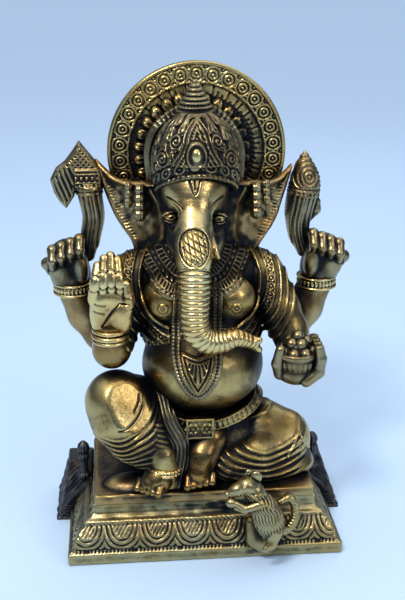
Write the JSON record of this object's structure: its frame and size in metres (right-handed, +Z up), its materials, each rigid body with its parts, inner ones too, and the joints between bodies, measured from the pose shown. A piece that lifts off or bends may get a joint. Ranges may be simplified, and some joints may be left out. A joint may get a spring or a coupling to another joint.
{
  "type": "seated deity figurine",
  "caption": "Free-standing cast brass figurine of a seated four-armed elephant-headed deity with a halo disc on a stepped plinth.",
  "frame": {"origin": "on the surface that the plinth stands on, under the middle of the whole statue's box", "axes": "+Z up; the figure faces -Y; +X is towards the viewer's right, which is the figure's left"},
  "size_m": [0.2064, 0.1248, 0.317],
  "materials": {
    "polished_brass": "rubbed high spots, worn bright, satin polish",
    "antique_brass": "antique brass with black patina left in the recesses",
    "dark_patina_brass": "unpolished cast surface with dark patina"
  },
  "bodies": {
    "root": {"axe_handle": "antique_brass", "axe_head": "antique_brass", "belt": "antique_brass", "belt_buckle": "antique_brass", "blessing_bangle": "polished_brass", "blessing_hand": "polished_brass", "bowl_hand": "antique_brass", "chest_strap": "antique_brass", "collar": "antique_brass", "crown": "dark_patina_brass", "crown_finial": "dark_patina_brass", "crown_gem": "polished_brass", "crown_panel": "antique_brass", "garland": "antique_brass", "garland_pendant": "polished_brass", "halo": "antique_brass", "halo_strut": "dark_patina_brass", "head": "polished_brass", "hips": "antique_brass", "left_ear": "antique_brass", "left_ear_pendant_inner": "antique_brass", "left_ear_pendant_outer": "antique_brass", "left_figure_bolt": "dark_patina_brass", "left_foot": "antique_brass", "left_front_arm": "antique_brass", "left_leg": "antique_brass", "left_rear_arm": "antique_brass", "left_rear_bangle": "polished_brass", "left_rear_hand": "antique_brass", "left_sash": "antique_brass", "left_tusk": "polished_brass", "mouse": "antique_brass", "mouse_ledge": "dark_patina_brass", "mouse_tail": "antique_brass", "noose": "antique_brass", "plinth": "antique_brass", "plinth_wing_left": "dark_patina_brass", "plinth_wing_right": "dark_patina_brass", "right_anklet": "polished_brass", "right_ear": "antique_brass", "right_ear_pendant_inner": "antique_brass", "right_ear_pendant_outer": "antique_brass", "right_figure_bolt": "dark_patina_brass", "right_foot": "antique_brass", "right_front_arm": "antique_brass", "right_leg": "antique_brass", "right_rear_arm": "antique_brass", "right_rear_bangle": "polished_brass", "right_rear_hand": "antique_brass", "right_sash": "antique_brass", "right_tusk": "polished_brass", "seat_slab": "antique_brass", "sweets": "polished_brass", "sweets_bowl": "antique_brass", "throne_post_left": "antique_brass", "throne_post_right": "antique_brass", "torso": "polished_brass", "trunk": "polished_brass", "waist_cloth": "antique_brass"}
  },
  "joints": []
}
